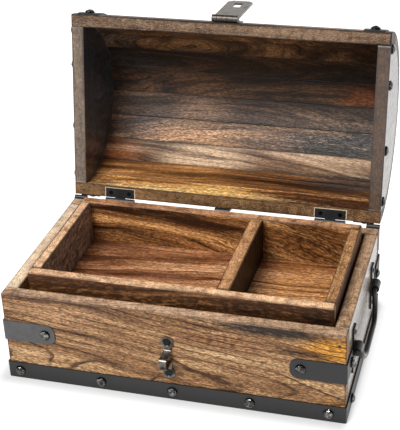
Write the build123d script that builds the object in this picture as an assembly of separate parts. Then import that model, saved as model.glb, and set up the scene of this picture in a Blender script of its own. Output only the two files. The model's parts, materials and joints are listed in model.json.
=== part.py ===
"""Wooden treasure chest: barrel lid on butt hinges, hasp and staple, lift-out tray, drop handles.

Millimetres. The origin is the middle of the underside, +X to the right seen from the front,
+Y to the back and +Z up. The lid is built shut and then swung open, as it stands at rest.
"""
import math
import os

from build123d import *

# Chest body
chest_width = 280.0
chest_depth = 165.0
base_height = 81.0
board_thickness = 11.0
bottom_thickness = 8.0
board_round = 0.8
cut_overrun = 5.0

# Lid
lid_gap = 0.5
lid_open_angle = 100.5
spring_height = 4.0
rail_angle = 16.0
stave_count = 8
stave_round = 0.5

# Tray, lying a little to the right and to the front in its play
tray_left_gap = 7.0
tray_right_gap = 1.4
tray_front_gap = 4.0
tray_back_gap = 7.2
tray_height = 43.0
tray_proud = 13.0
tray_wall = 9.0
tray_floor_thickness = 6.0
tray_divider_thickness = 11.0
tray_divider_offset = 35.7
tray_round = 1.6
tray_rest_width = 14.0
tray_rest_height = 10.0

# Dome nails
nail_head_radius = 4.7
nail_head_height = 3.2
nail_shank_radius = 1.2
nail_shank_length = 7.0
nail_clearance = 0.05

# Iron band round the foot of the base
band_height = 15.0
band_lift = 0.3
band_thickness = 1.2
band_seam = 0.4
band_front_nail_shares = (-0.467, -0.213, 0.003, 0.230, 0.454)
band_side_nail_inset = 22.5
band_side_nail_count = 3

# Corner straps of the base
strap_height = 18.0
strap_drop = 25.5
strap_front_length = 43.5
strap_side_length = 25.0
strap_thickness = 1.2
strap_end_round = 7.0
strap_nail_inset = 8.5

# Flush nails through the front and back boards into the ends
board_nail_radius = 1.5
board_nail_length = 18.0
board_nail_rise = 7.5
board_nail_drop = 10.0

# Butt hinges
hinge_inset = 43.5
hinge_offset = 2.7
hinge_leaf_width = 27.0
hinge_leaf_depth = 8.6
hinge_leaf_thickness = 1.2
hinge_knuckle_radius = 2.3
hinge_knuckle_gap = 0.3
hinge_pin_radius = 1.0
hinge_pin_clearance = 0.05
hinge_screw_spacing = 17.0
hinge_screw_inset = 4.4
hinge_screw_head_radius = 1.9
hinge_screw_head_depth = 1.1
hinge_screw_shank_radius = 0.8
hinge_screw_length = 8.0
hinge_mortise_clearance = 0.15
middle_knuckle_share = 0.34

# Bent strap behind the base that the open lid leans on
stop_width = 14.0
stop_thickness = 1.9
stop_clearance = 0.2
stop_flange_length = 13.0
stop_leg_length = 26.0
stop_screw_spacing = 12.0
stop_screw_drop = 8.0

# Rounded irons that close the hinge gap at the back corners
corner_iron_width = 11.5
corner_iron_clearance = 0.7
corner_iron_strap_gap = 3.75
corner_iron_screw_rise = 5.0

# Round-head screws of the staple, of the lid stop and of the corner irons
screw_head_radius = 2.6
screw_head_height = 0.5
screw_shank_radius = 1.1
screw_length = 8.0

# Hasp on the lid and staple on the base
hasp_width = 22.5
hasp_offset = -1.2
hasp_plate_thickness = 1.6
hasp_standoff = 3.4
hasp_rise = 2.0
hasp_knuckle_radius = 3.1
hasp_knuckle_count = 5
hasp_knuckle_gap = 0.25
hasp_pin_radius = 1.1
hasp_pin_clearance = 0.05
hasp_tip_reach = 15.2
hasp_rest_angle = 6.0
hasp_corner = 4.0
hasp_slot_ease = 0.55
hasp_slot_width = 7.2
hasp_slot_length = 13.0
hasp_leaf_thickness = 1.5
hasp_leaf_reach = 20.0
hasp_nail_spacing = 10.6
hasp_nail_rise = 11.6
staple_width = 6.0
staple_thickness = 1.4
staple_eye_radius = 5.1
staple_band_gap = 5.9
staple_eye_rise = 12.75
staple_eye_drop = 16.25
staple_reach = 15.5
staple_loop_height = 10.5
staple_bend = 2.0
staple_cup_radius = 3.9
staple_cup_depth = 0.8
staple_cup_clearance = 0.2

# Iron bands over the lid
lid_band_width = 18.0
lid_band_inset = 5.5
lid_band_thickness = 1.2
lid_band_foot = 1.5
lid_band_nail_angles = (-84.5, -42.0, 0.0, 42.0, 84.5)
lid_end_nail_height = 6.5
lid_end_nail_shares = (-0.411, -0.226, 0.116, 0.389)

# Drop handles on the ends
handle_rise = 34.0
bail_radius = 2.25
bail_drop = 22.5
bail_lean = 7.0
bail_wall_gap = 1.5
bail_clearance = 0.08
bail_bend = 3.0
bail_straight = 1.0
bail_end_proud = 0.8
bail_side_gap = 0.3
mount_front_gap = 1.7
mount_back_gap = 10.0
mount_width = 11.0
mount_thickness = 1.5
mount_rise = 20.0
mount_fall = 21.0
mount_round = 1.0
mount_nail_inset = 5.0
mount_nail_head_radius = 2.6
mount_nail_head_height = 1.2

# Places worked out from the sizes above
half_width = chest_width / 2
half_depth = chest_depth / 2
inner_width = chest_width - 2 * board_thickness
inner_depth = chest_depth - 2 * board_thickness
lid_rim_z = base_height + lid_gap
hinge_y = half_depth + hinge_offset
hinge_z = base_height + lid_gap / 2
hinge_axis = Axis((0, hinge_y, hinge_z), (1, 0, 0))
hinge_places = (hinge_inset - half_width, half_width - hinge_inset)
vault_radius = half_depth - board_thickness
tray_length = inner_width - tray_left_gap - tray_right_gap
tray_depth = inner_depth - tray_front_gap - tray_back_gap
tray_offset_x = (tray_left_gap - tray_right_gap) / 2
tray_offset_y = (tray_front_gap - tray_back_gap) / 2
tray_top = base_height + tray_proud
tray_bottom = tray_top - tray_height
strap_top = base_height - strap_drop
strap_middle_height = strap_top - strap_height / 2
corner_iron_foot = strap_top + corner_iron_strap_gap
hasp_y = -half_depth - hasp_standoff
hasp_z = lid_rim_z + hasp_rise
hasp_axis = Axis((0, hasp_y, hasp_z), (1, 0, 0))
hasp_left = hasp_offset - hasp_width / 2
hasp_right = hasp_offset + hasp_width / 2
staple_low_eye = band_height + staple_band_gap + staple_eye_radius
staple_middle = staple_low_eye + staple_eye_drop
staple_eye_heights = (staple_low_eye, staple_middle + staple_eye_rise)
hasp_slot_middle = hasp_z - staple_middle + hasp_slot_ease
hasp_length = hasp_slot_middle + hasp_tip_reach
board_nail_heights = (band_height + board_nail_rise, base_height - board_nail_drop)
screw_bore = screw_shank_radius + nail_clearance
nail_bore = nail_shank_radius + nail_clearance
handle_pivot_height = band_height + handle_rise
bail_x = half_width + bail_wall_gap + bail_radius
mount_reach = half_depth - strap_side_length - mount_width / 2
mount_places = (mount_front_gap - mount_reach, mount_reach - mount_back_gap)
handle_middle = (mount_places[0] + mount_places[1]) / 2
mount_half_spacing = (mount_places[1] - mount_places[0]) / 2
mount_bottom = handle_pivot_height - mount_fall
mount_top = handle_pivot_height + mount_rise
bail_half_span = mount_half_spacing - mount_width / 2 - bail_side_gap - bail_bend
bail_bow_radius = min(bail_drop - bail_bend, bail_half_span) - bail_straight

nodes = {}
lid_nodes = {}


def board(length, depth, height, middle, edge_round):
    """A board with eased edges, centred on a point."""
    return Pos(*middle) * fillet(Box(length, depth, height).edges(), edge_round)


def block(low, high):
    """A plain block between two corners."""
    sizes = [top - bottom for bottom, top in zip(low, high)]
    middle = [(top + bottom) / 2 for bottom, top in zip(low, high)]
    return Pos(*middle) * Box(*sizes)


def rod(start, end, radius):
    """A round rod between two points."""
    run = Vector(*end) - Vector(*start)
    return Plane(origin=start, z_dir=run) * extrude(Circle(radius), run.length)


def along_x(outline, low_x, high_x):
    """A YZ outline drawn out from one X to another."""
    return extrude(Plane.YZ.offset(low_x) * outline, high_x - low_x)


def polygon(*points):
    """A flat face with straight sides."""
    return make_face(Polyline(*points, close=True))


def turned(profile):
    """A solid of revolution about Z from an outline in (radius, height)."""
    return revolve(Plane.XZ * make_face(profile), Axis.Z)


def dome_headed(head_radius, head_height, shank_radius, length):
    """A nail or screw with a domed head, its seat at the origin and its head up +Z."""
    cap = (head_radius ** 2 + head_height ** 2) / (2 * head_height)
    half_turn = math.asin(head_radius / cap) / 2
    shoulder = (cap * math.sin(half_turn), head_height - cap + cap * math.cos(half_turn))
    tip = (shank_radius, -length)
    stem = Polyline((0, head_height), (0, -length), tip, (shank_radius, 0), (head_radius, 0))
    return turned([stem, ThreePointArc((head_radius, 0), shoulder, (0, head_height))])


def countersunk():
    """A hinge screw with its flat head level with the origin and facing +Z."""
    outline = Polyline(
        (0, 0),
        (hinge_screw_head_radius, 0),
        (hinge_screw_shank_radius, -hinge_screw_head_depth),
        (hinge_screw_shank_radius, -hinge_screw_length),
        (0, -hinge_screw_length),
        close=True,
    )
    return turned(outline)


def placed(shape, spots):
    """Copies of a shape at (point, outward direction) spots."""
    return [Plane(origin=point, z_dir=outward) * shape for point, outward in spots]


def drilled(shape, spots, radius, depth):
    """A shape with a round hole at each spot, from just outside it to a depth inside it."""
    for point, outward in spots:
        way = Vector(*outward)
        start = Vector(*point) + way * cut_overrun
        end = Vector(*point) - way * depth
        shape -= rod(tuple(start), tuple(end), radius)
    return shape


def only_solid(shape):
    """The one solid of a cut shape."""
    return shape.solids()[0]


def group(shapes):
    """Several separate solids kept together in one node."""
    return Compound(children=[shape.solids()[0] for shape in shapes])


def mirrored_spots(spots):
    """The same spots on the other side of the YZ plane."""
    return [((-point[0], point[1], point[2]), (-way[0], way[1], way[2])) for point, way in spots]


def nail_spots():
    """Where the dome nails of the base sit: round the foot band and on the corner straps."""
    band = []
    height = band_height / 2
    for share in band_front_nail_shares:
        for side in (-1, 1):
            y = side * (half_depth + band_thickness)
            band.append(((share * chest_width, y, height), (0, side, 0)))
    side_spacing = (chest_depth - 2 * band_side_nail_inset) / (band_side_nail_count - 1)
    for index in range(band_side_nail_count):
        y = band_side_nail_inset - half_depth + index * side_spacing
        for side in (-1, 1):
            x = side * (half_width + band_thickness)
            band.append(((x, y, height), (side, 0, 0)))
    straps = []
    for side_x in (-1, 1):
        for side_y in (-1, 1):
            x = side_x * (half_width - strap_front_length + strap_nail_inset)
            y = side_y * (half_depth + strap_thickness)
            straps.append(((x, y, strap_middle_height), (0, side_y, 0)))
            x = side_x * (half_width + strap_thickness)
            y = side_y * (half_depth - strap_side_length + strap_nail_inset)
            straps.append(((x, y, strap_middle_height), (side_x, 0, 0)))
    return band, straps


def board_nail_spots():
    """Where the flush nails go through the front and back boards into the end boards."""
    spots = []
    for x in (board_thickness / 2 - half_width, half_width - board_thickness / 2):
        for side in (-1, 1):
            for height in board_nail_heights:
                spots.append(((x, side * half_depth, height), (0, side, 0)))
    return spots


def staple_spots():
    """Where the staple's two screws go, on the floor of each eye's cup."""
    y = -half_depth - staple_thickness + staple_cup_depth
    return [((hasp_offset, y, height), (0, -1, 0)) for height in staple_eye_heights]


def stop_spots():
    """Where the lid stop's two screws go."""
    top = hinge_z - stop_screw_drop
    face = half_depth + stop_thickness + stop_clearance
    return [((0, face, top - drop), (0, 1, 0)) for drop in (0, stop_screw_spacing)]


def hinge_screw_spots(height, facing):
    """Screw places on hinge leaves lying at a height and facing up or down."""
    spots = []
    for middle in hinge_places:
        for side in (-1, 1):
            x = middle + side * hinge_screw_spacing / 2
            spots.append(((x, half_depth - hinge_screw_inset, height), (0, 0, facing)))
    return spots


def mount_nail_spots():
    """Nail places on the right-hand handle mounts."""
    spots = []
    for y in mount_places:
        for height in (mount_bottom + mount_nail_inset, mount_top - mount_nail_inset):
            spots.append(((half_width + mount_thickness, y, height), (1, 0, 0)))
    return spots


def mortise(middle, low_z, high_z):
    """The recess that a hinge leaf lies in."""
    reach = hinge_leaf_width / 2 + hinge_mortise_clearance
    front = half_depth - hinge_leaf_depth - hinge_mortise_clearance
    return block((middle - reach, front, low_z), (middle + reach, half_depth + cut_overrun, high_z))


def make_base_boards():
    """Four walls nailed at the corners, and the bottom board between them."""
    band_spots, strap_spots = nail_spots()
    dome_spots = band_spots + strap_spots
    mount_spots = mount_nail_spots()
    mount_spots += mirrored_spots(mount_spots)
    screw_spots = staple_spots() + stop_spots() + corner_iron_spots()
    depth_middle = (chest_depth - board_thickness) / 2
    width_middle = (chest_width - board_thickness) / 2
    long_wall = (chest_width, board_thickness, base_height)
    end_wall = (board_thickness, inner_depth, base_height)
    walls = {
        "base_front_panel": board(*long_wall, (0, -depth_middle, base_height / 2), board_round),
        "base_back_panel": board(*long_wall, (0, depth_middle, base_height / 2), board_round),
        "base_left_end": board(*end_wall, (-width_middle, 0, base_height / 2), board_round),
        "base_right_end": board(*end_wall, (width_middle, 0, base_height / 2), board_round),
    }
    back = walls["base_back_panel"]
    for middle in hinge_places:
        back -= mortise(middle, base_height - hinge_leaf_thickness, base_height + cut_overrun)
    leaf_spots = hinge_screw_spots(base_height, 1)
    walls["base_back_panel"] = drilled(back, leaf_spots, hinge_screw_head_radius, hinge_screw_length)
    for name, wall in walls.items():
        wall = drilled(wall, dome_spots + mount_spots, nail_bore, nail_shank_length)
        wall = drilled(wall, screw_spots, screw_bore, screw_length)
        wall = drilled(wall, board_nail_spots(), board_nail_radius + nail_clearance, board_nail_length)
        nodes[name] = only_solid(wall)
    middle = (0, 0, bottom_thickness / 2)
    nodes["base_bottom_board"] = board(inner_width, inner_depth, bottom_thickness, middle, board_round)
    rest = (tray_rest_width, inner_depth, tray_rest_height)
    rest_x = inner_width / 2 - tray_rest_width / 2
    rest_z = tray_bottom - tray_rest_height / 2
    nodes["left_tray_rest"] = board(*rest, (-rest_x, 0, rest_z), board_round)
    nodes["right_tray_rest"] = board(*rest, (rest_x, 0, rest_z), board_round)
    pin = Pos(0, 0, -board_nail_length / 2) * Cylinder(board_nail_radius, board_nail_length)
    nodes["board_nails"] = group(placed(pin, board_nail_spots()))


def make_foot_band():
    """One strip of iron round the foot of the base, its ends meeting at the back."""
    outer = (chest_width + 2 * band_thickness, chest_depth + 2 * band_thickness)
    outline = RectangleRounded(*outer, band_thickness) - Rectangle(chest_width, chest_depth)
    ring = Pos(0, 0, band_lift) * extrude(outline, band_height - band_lift)
    seam_low = (-band_seam / 2, half_depth - cut_overrun, -cut_overrun)
    seam_high = (band_seam / 2, half_depth + band_thickness + cut_overrun, base_height)
    ring -= block(seam_low, seam_high)
    band_spots, strap_spots = nail_spots()
    nodes["bottom_band"] = only_solid(drilled(ring, band_spots, nail_bore, nail_shank_length))
    nail = dome_headed(nail_head_radius, nail_head_height, nail_shank_radius, nail_shank_length)
    nodes["bottom_band_nails"] = group(placed(nail, band_spots))
    nodes["strap_nails"] = group(placed(nail, strap_spots))


def make_corner_straps():
    """Iron straps bent round the four corners, with rounded ends."""
    strap_spots = nail_spots()[1]
    bottom = strap_top - strap_height
    outer_x = half_width + strap_thickness
    outer_y = half_depth + strap_thickness
    front = block((half_width - strap_front_length, half_depth, bottom), (outer_x, outer_y, strap_top))
    front_end = front.edges().filter_by(Axis.Y).group_by(Axis.X)[0]
    front = fillet(front_end, strap_end_round)
    side = block((half_width, half_depth - strap_side_length, bottom), (outer_x, outer_y, strap_top))
    side_end = side.edges().filter_by(Axis.X).group_by(Axis.Y)[0]
    side = fillet(side_end, strap_end_round)
    strap = front + side
    corner = strap.edges().filter_by(Axis.Z).sort_by_distance((outer_x, outer_y, strap_middle_height))[0]
    strap = fillet(corner, strap_thickness)
    corners = {
        "strap_back_right": strap,
        "strap_back_left": mirror(strap, Plane.YZ),
        "strap_front_right": mirror(strap, Plane.XZ),
        "strap_front_left": mirror(mirror(strap, Plane.XZ), Plane.YZ),
    }
    for name, shape in corners.items():
        nodes[name] = only_solid(drilled(shape, strap_spots, nail_bore, nail_shank_length))


def knuckles(axis_y, axis_z, radius, spans):
    """Hinge knuckles over several X spans on one axis."""
    shapes = [rod((low, axis_y, axis_z), (high, axis_y, axis_z), radius) for low, high in spans]
    result = shapes[0]
    for shape in shapes[1:]:
        result += shape
    return result


def make_hinge(side_name, middle):
    """A butt hinge: a leaf let into each rim, three knuckles on one pin line."""
    half = hinge_leaf_width / 2
    inner = hinge_leaf_width * middle_knuckle_share / 2
    base_spans = [
        (middle - half, middle - inner - hinge_knuckle_gap),
        (middle + inner + hinge_knuckle_gap, middle + half),
    ]
    lid_spans = [(middle - inner, middle + inner)]
    front = half_depth - hinge_leaf_depth
    bore = rod(
        (middle - half - cut_overrun, hinge_y, hinge_z),
        (middle + half + cut_overrun, hinge_y, hinge_z),
        hinge_pin_radius + hinge_pin_clearance,
    )
    for kind, spans, low, high, facing, home in (
        ("base", base_spans, base_height - hinge_leaf_thickness, base_height, 1, nodes),
        ("lid", lid_spans, lid_rim_z, lid_rim_z + hinge_leaf_thickness, -1, lid_nodes),
    ):
        leaf = block((middle - half, front, low), (middle + half, half_depth, high))
        leaf += knuckles(hinge_y, hinge_z, hinge_knuckle_radius, spans)
        for low_x, high_x in spans:
            leaf += block((low_x, half_depth, low), (high_x, hinge_y, high))
        leaf -= bore
        seat = base_height if facing > 0 else lid_rim_z
        for spot in hinge_screw_spots(seat, facing):
            leaf -= placed(countersunk(), [spot])[0]
        home[side_name + "_hinge_" + kind + "_leaf"] = only_solid(leaf)


def make_hinges():
    """Both hinges with their pins and countersunk screws."""
    half = hinge_leaf_width / 2
    pins = []
    for side_name, middle in zip(("left", "right"), hinge_places):
        make_hinge(side_name, middle)
        start = (middle - half, hinge_y, hinge_z)
        end = (middle + half, hinge_y, hinge_z)
        pins.append(rod(start, end, hinge_pin_radius))
    nodes["hinge_pins"] = group(pins)
    nodes["hinge_base_screws"] = group(placed(countersunk(), hinge_screw_spots(base_height, 1)))
    lid_nodes["hinge_lid_screws"] = group(placed(countersunk(), hinge_screw_spots(lid_rim_z, -1)))


def corner_iron_spots():
    """Where the corner irons' screws go, one in each leg."""
    middle = half_width - corner_iron_width / 2
    face = half_depth + stop_thickness + stop_clearance
    height = corner_iron_foot + corner_iron_screw_rise
    return [((side * middle, face, height), (0, 1, 0)) for side in (-1, 1)]


def make_corner_irons():
    """An iron at each back corner, with a round knuckle on the hinge line and a leg down the back board."""
    thickness = stop_thickness + stop_clearance
    leg_length = hinge_z - corner_iron_foot
    leg_middle = (thickness / 2 - hinge_offset, -leg_length / 2)
    leg = Pos(*leg_middle) * Rectangle(thickness, leg_length)
    outline = Pos(hinge_y, hinge_z) * (Circle(hinge_offset - corner_iron_clearance) + leg)
    irons = []
    for low_x in (-half_width, half_width - corner_iron_width):
        iron = along_x(outline, low_x, low_x + corner_iron_width)
        irons.append(only_solid(drilled(iron, corner_iron_spots(), screw_bore, screw_length)))
    nodes["corner_irons"] = group(irons)


def make_lid_stop():
    """A strap bent round the hinge line, whose flange meets the back of the open lid."""
    outer = hinge_offset - stop_clearance
    inner = outer - stop_thickness
    lean = lid_open_angle - 90.0
    ring = Circle(outer) - Circle(inner)
    reach = hinge_offset * 2
    up = Vector(0, 1).rotate(Axis.Z, -lean)
    quarter = polygon((0, 0), (0, reach), tuple(up * reach)[:2])
    sector = polygon((0, 0), (-reach, 0), (-reach, reach), (0, reach)) + quarter
    flange = Pos(stop_flange_length / 2, (outer + inner) / 2) * Rectangle(stop_flange_length, stop_thickness)
    flange = flange.rotate(Axis.Z, -lean)
    leg_middle = (-(hinge_offset + inner) / 2, -stop_leg_length / 2)
    leg = Pos(*leg_middle) * Rectangle(stop_thickness + stop_clearance, stop_leg_length)
    outline = Pos(hinge_y, hinge_z) * ((ring & sector) + flange + leg)
    bracket = along_x(outline, -stop_width / 2, stop_width / 2)
    nodes["lid_stop"] = only_solid(drilled(bracket, stop_spots(), screw_bore, screw_length))
    screw = dome_headed(screw_head_radius, screw_head_height, screw_shank_radius, screw_length)
    nodes["lid_stop_screws"] = group(placed(screw, stop_spots() + corner_iron_spots()))


def staple_cup():
    """The dished recess round a staple screw, its mouth at the origin and its floor below."""
    floor_radius = screw_head_radius + staple_cup_clearance
    outline = Polyline(
        (0, 0),
        (staple_cup_radius, 0),
        (floor_radius, -staple_cup_depth),
        (0, -staple_cup_depth),
        close=True,
    )
    return turned(outline)


def make_staple():
    """The bent strap that the hasp's slot drops over, with a round cupped eye at each end."""
    low_eye, high_eye = staple_eye_heights
    front = -half_depth
    face = front - staple_thickness
    half = staple_thickness / 2
    seat = front - half
    tip = front - staple_reach + half
    loop_low = staple_middle - staple_loop_height / 2 + half
    loop_high = staple_middle + staple_loop_height / 2 - half
    route = FilletPolyline(
        (seat, low_eye),
        (seat, loop_low),
        (tip, loop_low),
        (tip, loop_high),
        (seat, loop_high),
        (seat, high_eye),
        radius=staple_bend,
    )
    outline = trace(route, staple_thickness)
    strap = along_x(outline, hasp_offset - staple_width / 2, hasp_offset + staple_width / 2)
    for height in staple_eye_heights:
        strap += rod((hasp_offset, front, height), (hasp_offset, face, height), staple_eye_radius)
        strap -= Plane(origin=(hasp_offset, face, height), z_dir=(0, -1, 0)) * staple_cup()
    nodes["hasp_staple"] = only_solid(drilled(strap, staple_spots(), screw_bore, screw_length))
    screw = dome_headed(screw_head_radius, screw_head_height, screw_shank_radius, screw_length)
    nodes["staple_screws"] = group(placed(screw, staple_spots()))


def make_handles():
    """A bowed drop handle on each end, its ends turned out into two barrel mounts."""
    axis_x = bail_x
    barrel_radius = bail_radius + bail_clearance + mount_thickness
    mounts = {}
    for name, y in zip(("front", "back"), mount_places):
        low_y = y - mount_width / 2
        high_y = y + mount_width / 2
        plate = block((half_width, low_y, mount_bottom), (half_width + mount_thickness, high_y, mount_top))
        plate = fillet(plate.edges().filter_by(Axis.X), mount_round)
        start = (axis_x, low_y, handle_pivot_height)
        end = (axis_x, high_y, handle_pivot_height)
        barrel = rod(start, end, barrel_radius)
        barrel -= block((0, low_y, 0), (half_width, high_y, base_height))
        mount = plate + barrel
        start = (axis_x, low_y - cut_overrun, handle_pivot_height)
        end = (axis_x, high_y + cut_overrun, handle_pivot_height)
        mount -= rod(start, end, bail_radius + bail_clearance)
        mounts[name] = drilled(mount, mount_nail_spots(), nail_bore, nail_shank_length)
    ear = mount_half_spacing + mount_width / 2 + bail_end_proud
    low_z = handle_pivot_height - bail_drop
    corners = [
        (axis_x, handle_middle + ear, handle_pivot_height),
        (axis_x, handle_middle + bail_half_span, handle_pivot_height),
        (axis_x, handle_middle + bail_half_span, low_z),
        (axis_x, handle_middle - bail_half_span, low_z),
        (axis_x, handle_middle - bail_half_span, handle_pivot_height),
        (axis_x, handle_middle - ear, handle_pivot_height),
    ]
    # the bend at each ear is small, and the bow below it is one wide sweep
    bends = [bail_bend, bail_bow_radius, bail_bow_radius, bail_bend]
    path = FilletPolyline(*corners, radius=bends)
    bail = sweep(Plane(origin=corners[0], z_dir=(0, -1, 0)) * Circle(bail_radius), path)
    # as drawn the bail stands a little off the wall
    bail = bail.rotate(Axis((axis_x, 0, handle_pivot_height), (0, 1, 0)), -bail_lean)
    nail = dome_headed(mount_nail_head_radius, mount_nail_head_height, nail_shank_radius, nail_shank_length)
    right_spots = mount_nail_spots()
    for name, shape in mounts.items():
        nodes["right_handle_" + name + "_mount"] = only_solid(shape)
        nodes["left_handle_" + name + "_mount"] = only_solid(mirror(shape, Plane.YZ))
    nodes["right_bail"] = only_solid(bail)
    nodes["left_bail"] = only_solid(mirror(bail, Plane.YZ))
    nodes["handle_mount_nails"] = group(placed(nail, right_spots + mirrored_spots(right_spots)))


def make_tray():
    """A lift-out tray with two compartments."""
    middle_z = (tray_top + tray_bottom) / 2
    inner = tray_depth - 2 * tray_wall
    for name, side in (("tray_front", -1), ("tray_back", 1)):
        y = tray_offset_y + side * (tray_depth - tray_wall) / 2
        nodes[name] = board(tray_length, tray_wall, tray_height, (tray_offset_x, y, middle_z), tray_round)
    for name, side in (("tray_left_end", -1), ("tray_right_end", 1)):
        x = tray_offset_x + side * (tray_length - tray_wall) / 2
        nodes[name] = board(tray_wall, inner, tray_height, (x, tray_offset_y, middle_z), board_round)
    floor_middle = (tray_offset_x, tray_offset_y, tray_bottom + tray_floor_thickness / 2)
    floor_length = tray_length - 2 * tray_wall
    nodes["tray_floor"] = board(floor_length, inner, tray_floor_thickness, floor_middle, board_round)
    divider_height = tray_height - tray_floor_thickness
    divider_x = tray_offset_x + tray_divider_offset
    divider_middle = (divider_x, tray_offset_y, tray_top - divider_height / 2)
    nodes["tray_divider"] = board(tray_divider_thickness, inner, divider_height, divider_middle, board_round)


def band_nail_spots(middle_x):
    """Nail places over one lid band, in the shut lid."""
    radius = half_depth + lid_band_thickness
    spots = []
    for degrees in lid_band_nail_angles:
        turn = math.radians(degrees)
        outward = (0, math.sin(turn), math.cos(turn))
        spots.append(((middle_x, radius * outward[1], lid_rim_z + radius * outward[2]), outward))
    return spots


def lid_end_nail_spots():
    """Nail places along the rim of both lid ends, in the shut lid."""
    spots = []
    for side in (-1, 1):
        for share in lid_end_nail_shares:
            point = (side * half_width, share * chest_depth, lid_rim_z + lid_end_nail_height)
            spots.append((point, (side, 0, 0)))
    return spots


def hasp_nail_spots():
    """The two nails of the hasp's fixed leaf, on the front of the shut lid."""
    rise = hasp_rise + hasp_nail_rise
    turn = math.asin(rise / half_depth)
    outward = (0, -math.cos(turn), math.sin(turn))
    radius = half_depth + hasp_leaf_thickness
    y = radius * outward[1]
    z = lid_rim_z + radius * outward[2]
    reach = hasp_nail_spacing / 2
    return [((x, y, z), outward) for x in (hasp_offset - reach, hasp_offset + reach)]


def make_lid_boards():
    """Two rails, the staves between them and the two D-shaped ends."""
    band_middle = half_width - lid_band_inset - lid_band_width / 2
    dome_spots = band_nail_spots(-band_middle) + band_nail_spots(band_middle) + hasp_nail_spots()
    springing = lid_rim_z + spring_height
    crown = springing + vault_radius
    hollow = make_face([
        Polyline((vault_radius, springing), (vault_radius, lid_rim_z), (-vault_radius, lid_rim_z),
                 (-vault_radius, springing)),
        ThreePointArc((-vault_radius, springing), (0, crown), (vault_radius, springing)),
    ])
    dome = make_face([
        Line((half_depth, lid_rim_z), (-half_depth, lid_rim_z)),
        ThreePointArc((-half_depth, lid_rim_z), (0, lid_rim_z + half_depth), (half_depth, lid_rim_z)),
    ])
    shell = dome - hollow
    reach = chest_depth
    stave_angle = (180.0 - 2 * rail_angle) / stave_count
    edges = [0.0] + [rail_angle + index * stave_angle for index in range(stave_count + 1)] + [180.0]
    names = ["lid_stave_%d" % (index + 1) for index in range(stave_count)]
    names = ["lid_back_rail"] + names + ["lid_front_rail"]
    for name, low, high in zip(names, edges, edges[1:]):
        wedge = [(0, springing)]
        for angle in (math.radians(low), math.radians(high)):
            wedge.append((reach * math.cos(angle), springing + reach * math.sin(angle)))
        # a rail also takes in the straight foot of the shell, down to the rim
        if name == "lid_back_rail":
            wedge = [(0, lid_rim_z), (reach, lid_rim_z), wedge[2], (0, springing)]
        if name == "lid_front_rail":
            wedge = [(0, lid_rim_z), (-reach, lid_rim_z), wedge[1], (0, springing)]
        solid = along_x(shell & polygon(*wedge), -half_width, half_width)
        solid = fillet(only_solid(solid).edges(), stave_round)
        if name == "lid_back_rail":
            for middle in hinge_places:
                solid -= mortise(middle, lid_rim_z - cut_overrun, lid_rim_z + hinge_leaf_thickness)
            spots = hinge_screw_spots(lid_rim_z, -1)
            solid = drilled(solid, spots, hinge_screw_head_radius, hinge_screw_length)
        lid_nodes[name] = only_solid(drilled(solid, dome_spots, nail_bore, nail_shank_length))
    for name, low_x in (("lid_left_end", -half_width), ("lid_right_end", half_width - board_thickness)):
        end = along_x(hollow, low_x, low_x + board_thickness)
        end = fillet(only_solid(end).edges(), stave_round)
        lid_nodes[name] = only_solid(drilled(end, lid_end_nail_spots(), nail_bore, nail_shank_length))


def make_lid_bands():
    """Iron bands over the lid near its ends, and the dome nails of the lid."""
    nail = dome_headed(nail_head_radius, nail_head_height, nail_shank_radius, nail_shank_length)
    outer = half_depth + lid_band_thickness
    ring = Pos(0, lid_rim_z) * (Circle(outer) - Circle(half_depth))
    upper = Pos(0, lid_rim_z + lid_band_foot + outer / 2) * Rectangle(2 * outer, outer)
    arch = ring & upper
    spots = []
    for name, side in (("left", -1), ("right", 1)):
        middle = side * (half_width - lid_band_inset - lid_band_width / 2)
        band = along_x(arch, middle - lid_band_width / 2, middle + lid_band_width / 2)
        own = band_nail_spots(middle)
        lid_nodes["lid_" + name + "_band"] = only_solid(drilled(band, own, nail_bore, nail_shank_length))
        spots += own
    lid_nodes["lid_band_nails"] = group(placed(nail, spots))
    lid_nodes["lid_end_nails"] = group(placed(nail, lid_end_nail_spots()))


def hasp_spans():
    """X spans of the hasp's knuckles, the flap's first and the leaf's between them."""
    pitch = hasp_width / hasp_knuckle_count
    spans = []
    for index in range(hasp_knuckle_count):
        low = hasp_left + index * pitch
        inset_low = hasp_knuckle_gap / 2 if index else 0
        inset_high = hasp_knuckle_gap / 2 if index < hasp_knuckle_count - 1 else 0
        spans.append((low + inset_low, low + pitch - inset_high))
    return spans[0::2], spans[1::2]


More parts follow.
